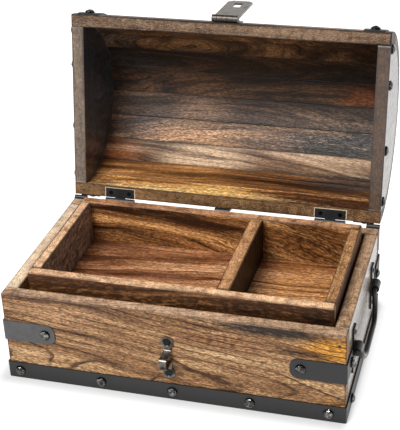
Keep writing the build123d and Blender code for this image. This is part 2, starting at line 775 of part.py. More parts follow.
def make_hasp():
    """The hasp: a curved leaf nailed to the lid, a pin, and the slotted flap."""
    flap_spans, leaf_spans = hasp_spans()
    root = hasp_knuckle_radius + hasp_knuckle_gap * 2
    start = (hasp_left - cut_overrun, hasp_y, hasp_z)
    end = (hasp_right + cut_overrun, hasp_y, hasp_z)
    bore = rod(start, end, hasp_pin_radius + hasp_pin_clearance)
    ring = Circle(half_depth + hasp_leaf_thickness) - Circle(half_depth)
    low_front = (-half_depth - hasp_leaf_thickness, 0)
    high_front = (-half_depth - hasp_leaf_thickness, hasp_leaf_reach)
    sheet = ring & polygon((0, 0), low_front, high_front, (0, hasp_leaf_reach))
    sheet = Pos(0, lid_rim_z) * sheet
    leaf = along_x(sheet, hasp_left, hasp_right)
    leaf -= block((hasp_left - cut_overrun, -chest_depth, 0), (hasp_right + cut_overrun, 0, hasp_z + root))
    for low_x, high_x in leaf_spans:
        tongue = along_x(sheet, low_x, high_x)
        tongue -= block((low_x, -chest_depth, 0), (high_x, 0, hasp_z))
        leaf += tongue
    leaf += knuckles(hasp_y, hasp_z, hasp_knuckle_radius, leaf_spans)
    lid_nodes["hasp_leaf"] = only_solid(drilled(leaf - bore, hasp_nail_spots(), nail_bore, nail_shank_length))
    nail = dome_headed(nail_head_radius, nail_head_height, nail_shank_radius, nail_shank_length)
    lid_nodes["hasp_leaf_nails"] = group(placed(nail, hasp_nail_spots()))
    lid_nodes["hasp_pin"] = rod((hasp_left, hasp_y, hasp_z), (hasp_right, hasp_y, hasp_z), hasp_pin_radius)
    # the flap is made hanging down, then folded back over the lid
    low_y = hasp_y - hasp_plate_thickness / 2
    high_y = hasp_y + hasp_plate_thickness / 2
    tip = hasp_z - hasp_length
    plate = block((hasp_left, low_y, tip), (hasp_right, high_y, hasp_z - root))
    tip_corners = plate.edges().filter_by(Axis.Y).group_by(Axis.Z)[0]
    plate = chamfer(tip_corners, hasp_corner)
    for low_x, high_x in flap_spans:
        plate += block((low_x, low_y, hasp_z - root), (high_x, high_y, hasp_z))
    plate += knuckles(hasp_y, hasp_z, hasp_knuckle_radius, flap_spans)
    slot_z = hasp_z - hasp_slot_middle
    slot_low = (hasp_offset - hasp_slot_width / 2, low_y - cut_overrun, slot_z - hasp_slot_length / 2)
    slot_high = (hasp_offset + hasp_slot_width / 2, high_y + cut_overrun, slot_z + hasp_slot_length / 2)
    plate -= block(slot_low, slot_high)
    flap = only_solid(plate - bore)
    lid_nodes["hasp_flap"] = flap.rotate(hasp_axis, -(180.0 - hasp_rest_angle))


make_base_boards()
make_foot_band()
make_corner_straps()
make_hinges()
make_lid_stop()
make_corner_irons()
make_staple()
make_handles()
make_tray()
make_lid_boards()
make_lid_bands()
make_hasp()

for node_name, shut_shape in lid_nodes.items():
    nodes[node_name] = shut_shape.rotate(hinge_axis, -lid_open_angle)

os.makedirs("parts", exist_ok=True)
for node_name, shape in nodes.items():
    export_step(shape, "parts/%s.step" % node_name)

hasp_arm = Vector(0, hasp_y - hinge_y, hasp_z - hinge_z).rotate(Axis.X, -lid_open_angle)
print("nodes", len(nodes))
print("lid hinge line y, z:", round(hinge_y, 4), round(hinge_z, 4))
print("hasp hinge line y, z:", round(hinge_y + hasp_arm.Y, 4), round(hinge_z + hasp_arm.Z, 4))
print("handle lines x, z:", round(bail_x, 4), round(handle_pivot_height, 4))
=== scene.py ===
"""Looks for a small wooden treasure chest: oiled hardwood, black iron, antiqued steel."""
import json
import math
import random

import bpy
import bmesh
from mathutils import Euler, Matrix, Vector


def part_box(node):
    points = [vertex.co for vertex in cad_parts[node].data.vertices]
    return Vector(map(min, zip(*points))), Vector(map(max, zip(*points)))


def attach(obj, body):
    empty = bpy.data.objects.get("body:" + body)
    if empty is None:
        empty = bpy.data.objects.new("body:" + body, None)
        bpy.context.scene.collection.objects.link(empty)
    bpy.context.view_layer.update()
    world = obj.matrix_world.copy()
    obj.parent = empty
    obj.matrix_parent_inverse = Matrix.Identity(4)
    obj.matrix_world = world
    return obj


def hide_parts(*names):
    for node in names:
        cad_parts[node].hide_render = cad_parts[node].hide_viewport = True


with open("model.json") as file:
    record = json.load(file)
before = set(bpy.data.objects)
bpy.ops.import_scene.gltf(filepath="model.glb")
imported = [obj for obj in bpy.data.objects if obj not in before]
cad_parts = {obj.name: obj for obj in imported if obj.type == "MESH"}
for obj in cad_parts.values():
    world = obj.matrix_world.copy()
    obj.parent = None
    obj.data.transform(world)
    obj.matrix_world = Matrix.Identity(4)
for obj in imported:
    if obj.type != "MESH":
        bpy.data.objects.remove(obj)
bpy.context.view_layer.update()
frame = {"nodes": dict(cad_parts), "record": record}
nodes = frame["nodes"]
joints = {joint["name"]: joint for joint in frame["record"]["behaviour"]["joints"]}

# Places on the chest in metres, read from the frame where it holds them; the lid's are for the shut lid
front_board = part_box("base_front_panel")
HALF_LENGTH = front_board[1][0]
FRONT_FACE = front_board[0][1]
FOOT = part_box("bottom_band")[1][:2]
LID_PIVOT = Vector(joints["lid_hinge"]["pos_m"])
LID_OPEN = math.radians(-joints["lid_hinge"]["range_deg"][0])
LID_RIM = 2 * LID_PIVOT.z - front_board[1][2]
VAULT_RADIUS = -front_board[1][1]
SPRING_RISE = 0.004
VAULT_SPRING = LID_RIM + SPRING_RISE
END_INSIDE = HALF_LENGTH + FRONT_FACE + VAULT_RADIUS
RAIL_TOP = 0.13
LID_TOP = 0.16
RAIL_ANGLE = math.radians(16)
STAVE_ANGLE = math.radians(18.5)
QUARTER = math.radians(90)

# Sizes of small details
NAIL_RADIUS = 0.0047
NAIL_HEIGHT = 0.0032
NAIL_EDGE = 0.00012
NAIL_FOOT = 0.001
MERGE_GAP = 1e-6
SCREW_RADIUS = 0.0026
EYE_DEPTH = 0.001
EYE_HOLLOW = (0.0043, 0.004, 0.0043)
KNUCKLE_DARKENING = (0.1, 0.0048, 0.0048)
STAIN_DEPTH = 0.02
DRIFT_HEIGHT = 0.02
SKIN_DEPTH = 0.0005
RIM_SKIN = 0.0012
RIM_CORE = 0.0006
EDGE_BURN = 0.0017
EDGE_CORE = 0.0003
EDGE_WAVE = 0.003
GLUE_INSET = 0.0007
GLUE_HALF = 0.0006
GLUE_CORE = 0.0003
CUT_MARGIN = 0.001
CUT_INSET = 0.0014
CUT_DEPTH = 0.0025
CUT_SOFT = 0.0003

# Patterns of the grain, in repeats for each metre: along it and two ways across it, or all ways alike
DRIFT = (9, 26, 26)
PATCHES = (14, 60, 60)
BROAD = (5, 75, 48)
DASHES = (165, 920, 920)
TICKS = (340, 1150, 1150)
BANDS = (6.0, 210, 130)
BAND_SHIFT = (1.7, 0.4, 0.9)
GRIT = 1250.0
RUBBED = 130.0

# Shares by which the grain darkens or lightens the wood under it
FLECK_DARK = (0.33, 0.28, 0.24, 1)
TICK_DARK = (0.44, 0.39, 0.34, 1)
TICK_PALE = (1.85, 1.85, 1.8, 1)
RING_DARK = (0.22, 0.18, 0.15, 1)
STREAK_DARK = (0.22, 0.19, 0.17, 1)
RUBBED_DARK = (0.66, 0.62, 0.58, 1)
RUBBED_PALE = (1.34, 1.32, 1.28, 1)

# The view, fitted to the photograph's edges, and the light
CAMERA_PLACE = (0.25154, -0.80600, 0.58992)
CAMERA_TURN = (1.065638, 0.039526, 0.274982)
CAMERA_LENS = 99.367
SENSOR_WIDTH = 36.0
CLIP_START = 0.05
LAMP_PLACE = (-0.76, -1.80, 2.36)
LAMP_TARGET = (0, 0.05, 0.12)
LAMP_SIZE = 1.3
LAMP_POWER = 110
WORLD_LIGHT = 0.24
FLOOR_REACH = 6.0
FLOOR_DROP = 0.0002
# the floor's painted shadow: how far it reaches from the chest's foot, and how softly it changes at the
# chest's right
PAINTED_SHADOW_WIDTH = 0.022
PAINTED_SHADOW_EASE = 0.005


def tone(red, green, blue):
    """A colour given as it looks on a screen, 0 to 255, as the linear values that shaders use."""
    values = []
    for part in (red, green, blue):
        part = part / 255
        values.append(part / 12.92 if part <= 0.04045 else ((part + 0.055) / 1.055) ** 2.4)
    return (*values, 1.0)


def shade(colour, share):
    """A colour made darker or lighter by a share."""
    return tuple(min(1.0, value * share) for value in colour[:3]) + (1.0,)


def half_way(first, second):
    """The colour half way between two."""
    return tuple((a + b) / 2 for a, b in zip(first, second))


# Shader helpers
def add(tree, kind, values=None, **settings):
    """A shader node with its settings, each input given a value or linked to a socket."""
    node = tree.nodes.new(kind)
    for key, value in settings.items():
        setattr(node, key, value)
    for key, value in (values or {}).items():
        if isinstance(value, bpy.types.NodeSocket):
            tree.links.new(value, node.inputs[key])
        else:
            node.inputs[key].default_value = value
    return node


def calc(tree, operation, *values, clamp=False):
    """The result of a sum on numbers or sockets."""
    node = add(tree, "ShaderNodeMath", dict(enumerate(values)), operation=operation, use_clamp=clamp)
    return node.outputs[0]


def spread(tree, value, low, high, to_low=0.0, to_high=1.0):
    """A value eased from one range to another and held at its ends."""
    numbers = {"Value": value, "From Min": low, "From Max": high, "To Min": to_low, "To Max": to_high}
    return add(tree, "ShaderNodeMapRange", numbers, interpolation_type="SMOOTHSTEP").outputs[0]


def blend(tree, share, first, second, how="MIX"):
    """Two colours mixed by a share."""
    node = add(tree, "ShaderNodeMix", {0: share, 6: first, 7: second}, data_type="RGBA", blend_type=how)
    return node.outputs[2]


def ramp(tree, value, stops):
    """A colour picked along a row of stops."""
    node = add(tree, "ShaderNodeValToRGB", {"Fac": value})
    elements = node.color_ramp.elements
    while len(elements) < len(stops):
        elements.new(0.5)
    for element, (place, colour) in zip(elements, stops):
        element.position = place
        element.color = colour
    return node.outputs["Color"]


def moved(tree, place, scale=(1, 1, 1), turn=(0, 0, 0), shift=(0, 0, 0)):
    """Coordinates scaled, turned and shifted."""
    values = {"Vector": place, "Scale": scale, "Rotation": turn, "Location": shift}
    return add(tree, "ShaderNodeMapping", values).outputs[0]


def axes(tree, place):
    """The three coordinates of a place."""
    return add(tree, "ShaderNodeSeparateXYZ", {0: place}).outputs


def reach(tree, place):
    """How far a place is from the origin."""
    return add(tree, "ShaderNodeVectorMath", {0: place}, operation="LENGTH").outputs["Value"]


def noise(tree, place, detail=3.0, rough=0.55, warp=0.0, size=1.0):
    """A soft random value over a place."""
    values = {"Vector": place, "Scale": size, "Detail": detail, "Roughness": rough, "Distortion": warp}
    return add(tree, "ShaderNodeTexNoise", values).outputs["Fac"]


def dented(tree, height, strength, distance):
    """The tilt that a surface gets from a height."""
    values = {"Height": height, "Strength": strength, "Distance": distance}
    return add(tree, "ShaderNodeBump", values).outputs[0]


def spot(tree, place, middle, size, soft):
    """1 inside a soft egg-shaped spot and 0 outside it."""
    scale = tuple(1 / s for s in size)
    shift = tuple(-m / s for m, s in zip(middle, size))
    return spread(tree, reach(tree, moved(tree, place, scale=scale, shift=shift)), 1.0, 1.0 - soft)


def seen_share(tree):
    """1 for what the camera sees, directly or in metal and glass, and 0 for what lights the chest."""
    rays = add(tree, "ShaderNodeLightPath").outputs
    seen = calc(tree, "MAXIMUM", rays["Is Camera Ray"], rays["Is Glossy Ray"])
    return calc(tree, "MAXIMUM", seen, rays["Is Transmission Ray"])


def finish(name):
    """An empty material with its shader and its Object coordinates."""
    material = bpy.data.materials.new(name)
    material.use_nodes = True
    tree = material.node_tree
    tree.nodes.clear()
    shader = add(tree, "ShaderNodeBsdfPrincipled")
    output = add(tree, "ShaderNodeOutputMaterial")
    tree.links.new(shader.outputs[0], output.inputs[0])
    place = add(tree, "ShaderNodeTexCoord").outputs["Object"]
    return material, tree, shader, place


def join(tree, shader, **sockets):
    """Sockets linked to the shader's inputs, named with low lines for spaces."""
    for key, socket in sockets.items():
        tree.links.new(socket, shader.inputs[key.replace("_", " ")])


# Parts of the wood finish
def lid_place(tree, place):
    """Places on the open lid as they are when the lid is shut."""
    turn = Euler((LID_OPEN, 0, 0))
    shift = LID_PIVOT - turn.to_matrix() @ LID_PIVOT
    return moved(tree, place, turn=tuple(turn), shift=tuple(shift))


def side_gaps(tree, point, low, high):
    """How far a point in a box is from the box's nearer side, along each axis."""
    gaps = []
    for index in range(3):
        below = calc(tree, "SUBTRACT", point[index], low[index])
        above = calc(tree, "SUBTRACT", high[index], point[index])
        gaps.append(calc(tree, "MINIMUM", below, above))
    return gaps


def edge_near(tree, point, low, high):
    """How far a point on a box-shaped board is from the board's nearest edge."""
    gaps = side_gaps(tree, point, low, high)
    least = calc(tree, "MINIMUM", gaps[0], gaps[1])
    most = calc(tree, "MAXIMUM", gaps[0], gaps[1])
    return calc(tree, "MAXIMUM", least, calc(tree, "MINIMUM", most, gaps[2]))


def seam_near(tree, point):
    """How far a point on the lid's vault is from the nearest seam between two staves."""
    rise = calc(tree, "SUBTRACT", point[2], VAULT_SPRING)
    angle = calc(tree, "ARCTAN2", rise, point[1])
    turn = calc(tree, "FRACT", calc(tree, "DIVIDE", calc(tree, "SUBTRACT", angle, RAIL_ANGLE), STAVE_ANGLE))
    near = calc(tree, "MINIMUM", turn, calc(tree, "SUBTRACT", 1.0, turn))
    return calc(tree, "MULTIPLY", near, STAVE_ANGLE * VAULT_RADIUS)


def wander(tree, own, along):
    """Coordinates along the grain with a slow drift, so that no line runs dead straight."""
    drift = noise(tree, moved(tree, own, scale=DRIFT), 2.0, 0.5)
    lift = calc(tree, "MULTIPLY", calc(tree, "SUBTRACT", drift, 0.5), DRIFT_HEIGHT)
    offset = add(tree, "ShaderNodeCombineXYZ", {"Y": lift, "Z": lift}).outputs[0]
    return add(tree, "ShaderNodeVectorMath", {0: along, 1: offset}, operation="ADD").outputs[0]


def ring_radius(tree, bent, heart, ring_run, taper):
    """How far a place is from the tree's heart; rings about it show as nested arches on a flat face."""
    home = (-heart[0] * ring_run, -heart[1], -heart[2])
    radius = reach(tree, moved(tree, bent, scale=(ring_run, 1, 1), shift=home))
    if taper:
        past = calc(tree, "SUBTRACT", axes(tree, bent)[0], heart[0])
        radius = calc(tree, "ADD", radius, calc(tree, "MULTIPLY", past, taper))
    return radius


def ring_lines(tree, radius, ring_gap, patchy):
    """Dark lines at the rings' late wood, stronger in some patches than in others."""
    age = calc(tree, "ADD", calc(tree, "DIVIDE", radius, ring_gap), calc(tree, "MULTIPLY", patchy, 1.1))
    late = spread(tree, calc(tree, "FRACT", age), 0.74, 0.92)
    return calc(tree, "MULTIPLY", late, spread(tree, patchy, 0.36, 0.58, 0.3, 1.0))


def fibre_place(tree, own, bent, radius, taper):
    """Coordinates along and across the fibres, which follow the rings, or lie straight on a tapered board."""
    board = axes(tree, own)
    across = radius
    if taper:
        across = calc(tree, "ADD", axes(tree, bent)[2], calc(tree, "MULTIPLY", board[0], taper))
    return add(tree, "ShaderNodeCombineXYZ", {"X": board[0], "Y": across, "Z": board[1]}).outputs[0]


def stain_and_painted_light(tree, colour, place, stain, bands, dash):
    """The wood with a soft patch of colour torn along the fibres; most patches are stains, some are painted
    sheen, painted fill light and painted shade.
    """
    middle, size, tint, strength = stain
    torn = spot(tree, place, middle, size, 0.75)
    torn = calc(tree, "MULTIPLY", torn, spread(tree, bands, 0.34, 0.56, 0.5, 1.0))
    torn = calc(tree, "MULTIPLY", torn, spread(tree, dash, 0.36, 0.58, 0.7, 1.0))
    return blend(tree, calc(tree, "MULTIPLY", torn, strength, clamp=True), colour, tint)


def sawn_rim(tree, place, rim, tick, broad):
    """The gritty colour of a sawn rim."""
    dark, light = rim
    grit = noise(tree, place, 2.0, 0.65, 0.0, GRIT)
    mixed = calc(tree, "ADD", calc(tree, "MULTIPLY", grit, 0.45), calc(tree, "MULTIPLY", tick, 0.35))
    mixed = calc(tree, "ADD", mixed, calc(tree, "MULTIPLY", broad, 0.2))
    return ramp(tree, mixed, [(0.40, dark), (0.50, half_way(dark, light)), (0.58, light)])


def rubbed(tree, place, colour):
    """A colour worn darker and paler in patches."""
    wear_and_glint = noise(tree, place, 3.0, 0.6, 0.4, RUBBED)
    colour = blend(tree, spread(tree, wear_and_glint, 0.48, 0.38), colour, RUBBED_DARK, "MULTIPLY")
    return blend(tree, spread(tree, wear_and_glint, 0.53, 0.64), colour, RUBBED_PALE, "MULTIPLY")


def chipped(tree, colour, point, cut, patchy):
    """The wood with pale, chipped edges round a cut."""
    depth = 1.0
    for gap in side_gaps(tree, point, *cut):
        depth = calc(tree, "MINIMUM", depth, gap)
    bare = spread(tree, depth, 0.0, CUT_SOFT)
    bare = calc(tree, "MULTIPLY", bare, spread(tree, patchy, 0.30, 0.50, 0.2, 0.9))
    return blend(tree, bare, colour, tone(222, 200, 170))


def glued(tree, colour, point, patchy):
    """The wood with a thin pale glue line where a lid end meets the vault."""
    rise = calc(tree, "SUBTRACT", point[2], VAULT_SPRING)
    squares = calc(tree, "ADD", calc(tree, "POWER", point[1], 2.0), calc(tree, "POWER", rise, 2.0))
    past = calc(tree, "SUBTRACT", calc(tree, "SQRT", squares), VAULT_RADIUS - GLUE_INSET)
    bead = spread(tree, calc(tree, "ABSOLUTE", past), GLUE_HALF, GLUE_CORE)
    bead = calc(tree, "MULTIPLY", bead, spread(tree, patchy, 0.35, 0.55, 0.3, 0.9))
    return blend(tree, bead, colour, tone(150, 142, 132))


def plank_wood(name, tones, box, grain="x", lid=False, heart=(0, 0, 0), ring_gap=0.007, ring_run=0.15,
               ring_share=0.6, taper=0.0, fleck=0.7, streak=0.3, rim=None, burn=0.6, shift=0.0, stains=(),
               chips=(), glue=False, gloss=0.45, shine=0.2, varnish=0.0):
    """Oiled hardwood: rings round a heart, flecks along them, streaks, stains and patches of painted light
    and shade, a paler rim and dark edges.
    """
    material, tree, shader, place = finish(name)
    if lid:
        place = lid_place(tree, place)
    along = place if grain == "x" else moved(tree, place, turn=(0, 0, -QUARTER))
    dark, middle, light = tones
    black = shade(dark, 0.28)

    # rings, and flecks and streaks that lie along them
    own = moved(tree, along, shift=(shift, shift * 0.37, shift * 0.61))
    bent = wander(tree, own, along)
    radius = ring_radius(tree, bent, heart, ring_run, taper)
    patchy = noise(tree, moved(tree, own, scale=PATCHES), 2.0, 0.5)
    line = ring_lines(tree, radius, ring_gap, patchy)
    fibre = fibre_place(tree, own, bent, radius, taper)
    broad = noise(tree, moved(tree, fibre, scale=BROAD), 3.0, 0.6, 0.3)
    dash = noise(tree, moved(tree, fibre, scale=DASHES), 2.0, 0.6)
    tick = noise(tree, moved(tree, fibre, scale=TICKS), 2.0, 0.6)
    bands = noise(tree, moved(tree, fibre, scale=BANDS, shift=BAND_SHIFT), 4.0, 0.62, 0.3)
    dash_share = calc(tree, "MULTIPLY", spread(tree, dash, 0.49, 0.58), fleck)
    tick_share = calc(tree, "MULTIPLY", spread(tree, tick, 0.52, 0.60), fleck)
    pale_share = calc(tree, "MULTIPLY", spread(tree, tick, 0.46, 0.38), fleck)
    band_share = calc(tree, "MULTIPLY", spread(tree, bands, 0.50, 0.66), streak)

    # stains, and the patches of painted sheen, fill light and shade given among them, lie under the grain,
    # which darkens or lightens whatever is there
    colour = ramp(tree, broad, [(0.36, dark), (0.49, middle), (0.64, light)])
    for stain in stains:
        colour = stain_and_painted_light(tree, colour, place, stain, bands, dash)
    for share, grain_tint in (
            (dash_share, FLECK_DARK),
            (tick_share, TICK_DARK),
            (pale_share, TICK_PALE),
            (calc(tree, "MULTIPLY", line, ring_share), RING_DARK),
            (band_share, STREAK_DARK)):
        colour = blend(tree, share, colour, grain_tint, "MULTIPLY")

    # the sawn rim, chips, the glue line, and burnt edges or seams
    point = axes(tree, place)
    if rim:
        above, below = (point[2], LID_RIM) if lid else (box[1][2], point[2])
        skin = spread(tree, calc(tree, "SUBTRACT", above, below), RIM_SKIN, RIM_CORE)
        sawn = sawn_rim(tree, place, rim, tick, broad)
        sawn = blend(tree, calc(tree, "MULTIPLY", line, ring_share * 0.5), sawn, black)
        colour = blend(tree, skin, colour, rubbed(tree, place, sawn))
    for cut in chips:
        colour = chipped(tree, colour, point, cut, patchy)
    if glue:
        colour = glued(tree, colour, point, patchy)
    edge = edge_near(tree, point, *box) if box else seam_near(tree, point)
    wave = calc(tree, "MULTIPLY", calc(tree, "SUBTRACT", patchy, 0.5), EDGE_WAVE)
    scorch = spread(tree, calc(tree, "ADD", edge, wave), EDGE_BURN, EDGE_CORE)
    colour = blend(tree, calc(tree, "MULTIPLY", scorch, burn), colour, black)

    # pores and ring lines lie a little lower than the rest
    pores = calc(tree, "MULTIPLY", dash_share, 0.5)
    pores = calc(tree, "ADD", pores, calc(tree, "MULTIPLY", tick_share, 0.6))
    pores = calc(tree, "ADD", pores, calc(tree, "MULTIPLY", line, 0.4))
    bump = dented(tree, calc(tree, "SUBTRACT", 1.0, pores), 0.35, 0.0005)
    rough = calc(tree, "ADD", calc(tree, "MULTIPLY", dash, 0.3), gloss - 0.15)
    join(tree, shader, Base_Color=colour, Roughness=rough, Normal=bump)
    shader.inputs["Specular IOR Level"].default_value = shine
    shader.inputs["Coat Weight"].default_value = varnish
    shader.inputs["Coat Roughness"].default_value = 0.2
    return material


# Metal finishes
def black_iron(name, colour, gloss, dents, worn_and_glinting, shine=0.5):
    """Painted iron: faintly mottled black with small dents and rubbed patches."""
    material, tree, shader, place = finish(name)
    mottle = noise(tree, place, 4.0, 0.65, 0.2, 150.0)
    rub = noise(tree, place, 5.0, 0.7, 0.6, 420.0)
    tint = ramp(tree, mottle, [(0.32, shade(colour, 0.78)), (0.52, colour), (0.75, shade(colour, 1.28))])
    tint = blend(tree, spread(tree, rub, 0.62, 0.78, 0.0, worn_and_glinting), tint, tone(120, 112, 104))
    rough = calc(tree, "ADD", calc(tree, "MULTIPLY", mottle, 0.2), gloss - 0.1)
    cells = add(tree, "ShaderNodeTexVoronoi", {"Vector": place, "Scale": 330.0}, feature="SMOOTH_F1")
    pits = calc(tree, "MULTIPLY", cells.outputs["Distance"], dents)
    bump = dented(tree, calc(tree, "ADD", pits, calc(tree, "MULTIPLY", rub, 0.2)), 0.4, 0.0006)
    join(tree, shader, Base_Color=tint, Roughness=rough, Normal=bump)
    shader.inputs["Specular IOR Level"].default_value = shine
    return material


def antique_steel(name, colour, dark, gloss, bright=1.6, darkened_patches=()):
    """Steel darkened brown-black in given patches, as antiquing in the staple's eye cups and as a darker band
    round the hasp's knuckles, and with brighter rubbed patches.
    """
    material, tree, shader, place = finish(name)
    stain = noise(tree, place, 5.0, 0.65, 0.4, 190.0)
    scratch = noise(tree, moved(tree, place, scale=(2600, 240, 240)), 2.0, 0.6)
    tint = ramp(tree, stain, [(0.33, dark), (0.50, colour), (0.74, shade(colour, bright))])
    for middle, size, strength in darkened_patches:
        darkening = calc(tree, "MULTIPLY", spot(tree, place, middle, size, 0.35), strength)
        tint = blend(tree, darkening, tint, shade(dark, 0.35))
    rough = calc(tree, "ADD", calc(tree, "MULTIPLY", stain, 0.2), calc(tree, "MULTIPLY", scratch, 0.14))
    rough = calc(tree, "ADD", rough, gloss - 0.16)
    bump = dented(tree, calc(tree, "ADD", stain, calc(tree, "MULTIPLY", scratch, 0.4)), 0.2, 0.0004)
    join(tree, shader, Base_Color=tint, Roughness=rough, Normal=bump)
    shader.inputs["Metallic"].default_value = 0.9
    return material


def nails_with_painted_glints():
    """Hammered nail heads: black round the rim as painted shade, with facets painted bright by different
    amounts as glints, partly standing for worn iron.
    """
    material, tree, shader, place = finish("nail_iron")
    wear_and_glint = add(tree, "ShaderNodeAttribute", attribute_name="wear_and_glint").outputs["Fac"]
    mottle = noise(tree, place, 4.0, 0.65, 0.2, 420.0)
    # painted glints, partly for worn iron, broken up by the mottle
    worn_and_glinting = calc(tree, "MULTIPLY", wear_and_glint, spread(tree, mottle, 0.35, 0.6, 0.6, 1.0))
    tint = ramp(tree, worn_and_glinting, [(0.0, tone(30, 30, 30)), (0.45, tone(72, 71, 70)), (1.0, tone(150, 148, 145))])
    rough = calc(tree, "ADD", calc(tree, "MULTIPLY", mottle, 0.2), 0.12)
    join(tree, shader, Base_Color=tint, Roughness=rough, Normal=dented(tree, mottle, 0.2, 0.0004))
    shader.inputs["Metallic"].default_value = 1.0
    return material


def filled_nails():
    """Flush nails: bare dark iron at the right, filled and stained like the board at the left."""
    material, tree, shader, place = finish("flush_nails")
    at_right = calc(tree, "GREATER_THAN", axes(tree, place)[0], 0.0)
    join(tree, shader, Base_Color=blend(tree, at_right, tone(146, 108, 74), tone(40, 38, 36)))
    shader.inputs["Roughness"].default_value = 0.45
    return material


def paint(node, material):
    """A CAD node shown in a material."""
    mesh = nodes[node].data
    mesh.materials.clear()
    mesh.materials.append(material)


def paint_wood(node, tones, box, **looks):
    """A board shown in a wood of its own."""
    paint(node, plank_wood(node + "_wood", tones, box, **looks))


# Base boards
def front_stain(x, z, length, height, colour, strength):
    """A stain on the face of the front board."""
    return (x, FRONT_FACE, z), (length, STAIN_DEPTH, height), colour, strength


TAN = (tone(78, 50, 32), tone(160, 120, 84), tone(212, 174, 130))
END_TAN = (tone(104, 78, 58), tone(168, 136, 106), tone(202, 172, 138))
HIDDEN_TAN = (tone(74, 48, 30), tone(118, 84, 54), tone(146, 108, 72))
PINK_RIM = (tone(118, 86, 66), tone(220, 184, 150))
FRONT_STAINS = [
    front_stain(0.130, 0.066, 0.034, 0.014, tone(226, 158, 58), 1.1),
    front_stain(0.080, 0.078, 0.062, 0.010, tone(58, 47, 40), 1.3),
    front_stain(0.104, 0.060, 0.036, 0.005, tone(66, 40, 24), 1.2),
    front_stain(0.045, 0.060, 0.060, 0.010, tone(124, 78, 48), 0.9),
    front_stain(0.094, 0.026, 0.026, 0.008, tone(66, 44, 34), 1.2),
    front_stain(0.036, 0.024, 0.018, 0.006, tone(84, 56, 40), 0.9),
    front_stain(0.130, 0.018, 0.020, 0.006, tone(200, 142, 60), 0.8),
    front_stain(0.070, 0.022, 0.110, 0.026, tone(142, 102, 68), 1.1),
    front_stain(-0.090, 0.068, 0.060, 0.014, tone(204, 162, 122), 0.7),
]
paint_wood(
    "base_front_panel", TAN, front_board, heart=(-0.0107, -0.0525, 0.022), ring_gap=0.0042, ring_run=0.0,
    ring_share=1.0, taper=0.1, fleck=0.7, streak=0.14, rim=PINK_RIM, stains=FRONT_STAINS)
paint_wood(
    "base_back_panel", TAN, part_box("base_back_panel"), heart=(0.05, 0.0825, 0.07), ring_run=0.2,
    rim=PINK_RIM, shift=3.1)
for node, shift, rim in (
        ("base_left_end", 5.3, (tone(168, 130, 100), tone(255, 226, 188))),
        ("base_right_end", 6.3, (tone(126, 94, 70), tone(222, 182, 142)))):
    paint_wood(
        node, END_TAN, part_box(node), grain="y", heart=(-0.03, -0.14, 0.03), rim=rim, shift=shift,
        gloss=0.34, shine=0.5, varnish=0.7)
for node, shift in (("base_bottom_board", 7.7), ("left_tray_rest", 8.1), ("right_tray_rest", 8.9)):
    paint_wood(node, HIDDEN_TAN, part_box(node), heart=(0, 0.03, -0.1), shift=shift)


# Lid boards, the staves counted from the back rail
def smear(length, height=0.03):
    """The size of a stain on a stave."""
    return (length, height, height)


# the first colour here, the pale one, is painted sheen: the lamp's reflection on the vault
PAINTED_SHEEN, GOLD, RUST, SOOT = tone(212, 180, 148), tone(216, 152, 76), tone(186, 96, 40), tone(20, 15, 13)
# the last colour here, the pale grey one, is painted fill light for the staves that face down
UMBER, ASH, PAINTED_FILL_LIGHT = tone(70, 46, 30), tone(74, 60, 52), tone(124, 114, 106)
WIDE, SHORT = smear(0.07), smear(0.04)
SOFT_FLECK, CRISP_FLECK = 0.45, 0.75

